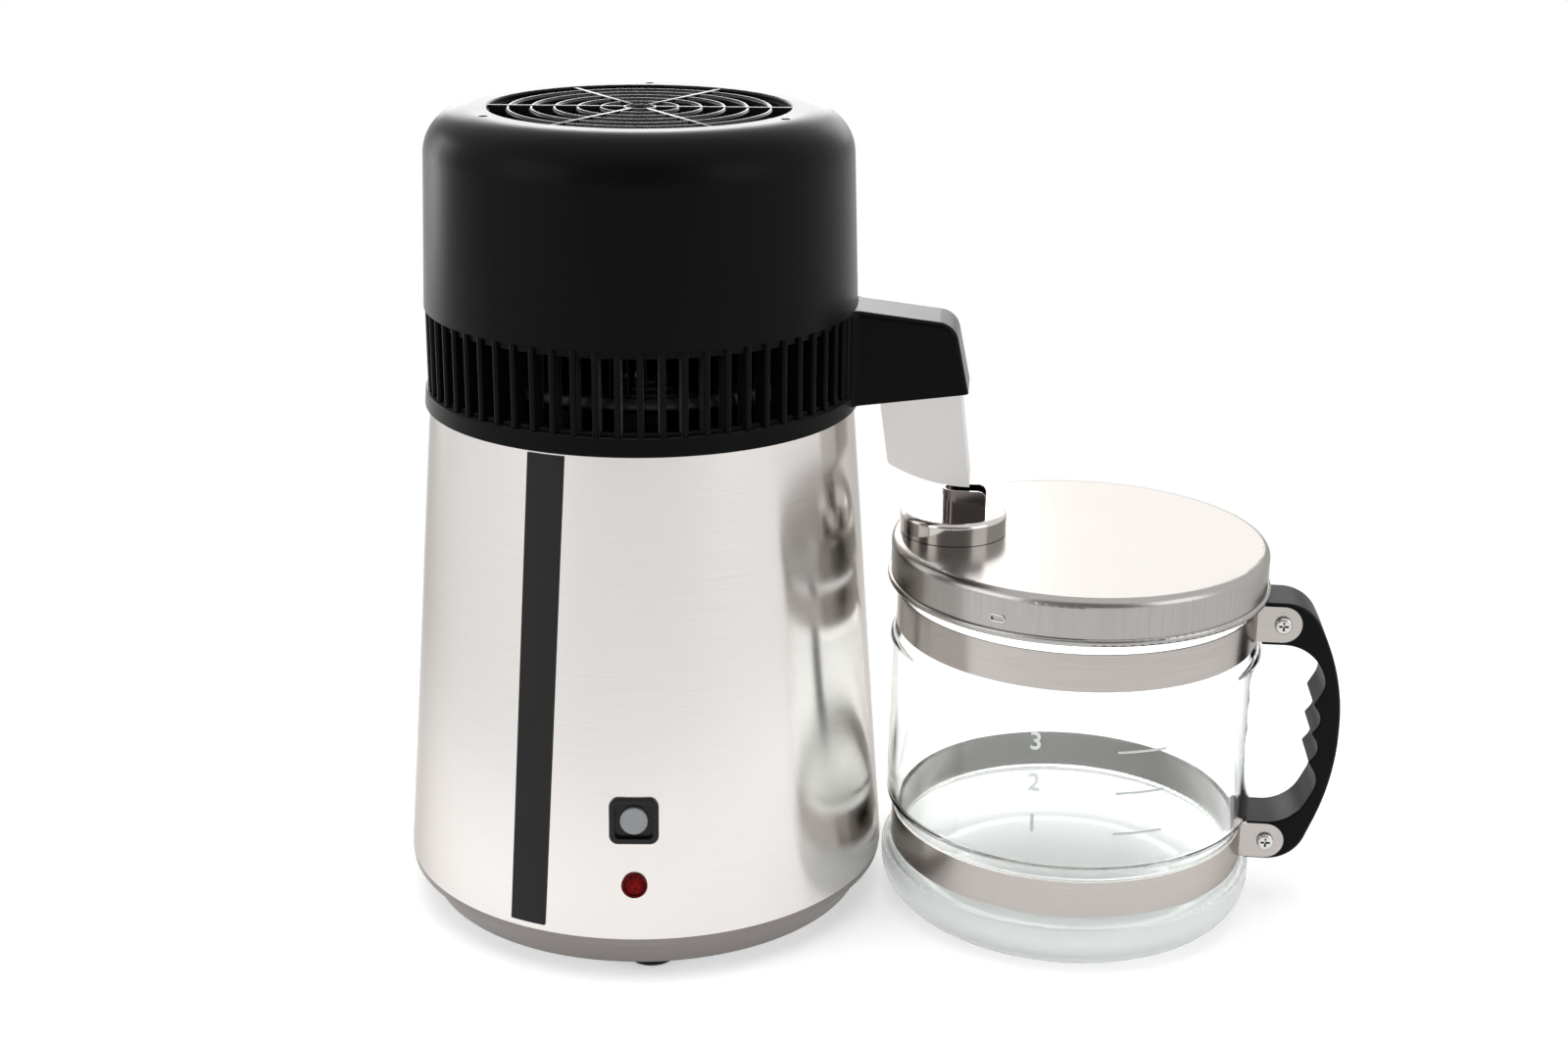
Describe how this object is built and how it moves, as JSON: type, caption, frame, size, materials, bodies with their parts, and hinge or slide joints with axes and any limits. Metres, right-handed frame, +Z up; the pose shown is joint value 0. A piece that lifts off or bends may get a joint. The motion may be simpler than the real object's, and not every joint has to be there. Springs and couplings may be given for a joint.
{
  "type": "countertop water distiller",
  "caption": "Countertop water distiller: steel boiling base, black lift-off fan head with spout arm, and a glass jug with steel lid and moulded handle.",
  "frame": {"origin": "middle of the footprint of the whole set, at counter height", "axes": "+Z up, +X from the distiller to the jug along the spout, -Y towards the button side"},
  "size_m": [0.444, 0.23, 0.376],
  "materials": {
    "casing_steel": "bright brushed sheet",
    "pot_steel": "drawn stainless sheet",
    "sheet_zinc": "zinc plated sheet",
    "base_grey": "grey moulded plastic",
    "foot_rubber": "black rubber",
    "silicone": "white silicone",
    "cast_aluminium": "plain",
    "head_black": "satin black moulding",
    "trim_dark": "dark grey strip",
    "button_silver": "silver moulding",
    "lamp_red": "clear red moulding",
    "contact_brass": "plain",
    "motor_grey": "plain",
    "fan_black": "moulded blades",
    "filter_cloth": "soft pad",
    "screw_chrome": "bright",
    "jug_glass": "clear, slightly green",
    "lid_steel": "brushed sheet",
    "handle_black": "satin black moulding"
  },
  "bodies": {
    "base": {"outer_casing": "casing_steel", "base_ring": "base_grey", "base_plate": "sheet_zinc", "rubber_feet": "foot_rubber", "base_screws": "screw_chrome", "boiling_chamber": "pot_steel", "heater_plate": "cast_aluminium", "heater_element": "motor_grey", "thermostats": "motor_grey", "switch_bezel": "head_black", "switch_body": "head_black", "indicator_lens": "lamp_red", "lamp_holder": "head_black", "trim_strip": "trim_dark", "mains_inlet": "head_black", "inlet_pins": "contact_brass", "fan_socket": "head_black"},
    "start_button": {"start_button": "button_silver"},
    "head": {"head_cover": "head_black", "fan_grille": "head_black", "cover_screws": "screw_chrome", "vent_ring": "head_black", "spout_collar": "head_black", "spout_nozzle": "lid_steel", "carbon_filter": "filter_cloth", "motor_bracket": "sheet_zinc", "fan_motor": "motor_grey", "condenser_coil": "pot_steel", "condenser_fins": "cast_aluminium", "coil_brackets": "sheet_zinc", "steam_dome": "pot_steel", "dome_seal": "silicone", "head_inlet": "head_black"},
    "fan": {"fan_rotor": "fan_black", "fan_shaft": "screw_chrome"},
    "jug": {"jug_glass": "jug_glass", "upper_band": "lid_steel", "lower_band": "lid_steel", "jug_handle": "handle_black", "handle_screws": "screw_chrome", "handle_nuts": "screw_chrome"},
    "jug_lid": {"jug_lid": "lid_steel", "lid_seal": "silicone"},
    "lid_cap": {"lid_cap": "lid_steel", "cap_tab": "lid_steel"}
  },
  "joints": [
    {"name": "head_lift", "type": "slide", "parent": "base", "child": "head", "axis": [0, 0, 1], "range_m": [0, 0.13]},
    {"name": "fan_spin", "type": "hinge", "parent": "head", "child": "fan", "pos_m": [-0.107, 0, 0.325], "axis": [0, 0, 1], "continuous": true},
    {"name": "button_press", "type": "slide", "parent": "base", "child": "start_button", "axis": [-0.1042, 0.9915, -0.0781], "range_m": [0, 0.0025], "stiffness_N_per_m": 400},
    {"name": "jug_slide", "type": "slide", "parent": "base", "child": "jug", "axis": [1, 0, 0], "range_m": [0, 0.22]},
    {"name": "lid_twist", "type": "hinge", "parent": "jug", "child": "jug_lid", "pos_m": [0.0975, 0, 0.17], "axis": [0, 0, 1], "range_deg": [0, 40]},
    {"name": "cap_turn", "type": "hinge", "parent": "jug_lid", "child": "lid_cap", "pos_m": [0.0386, 0, 0.188], "axis": [0, 0, 1], "continuous": true}
  ]
}
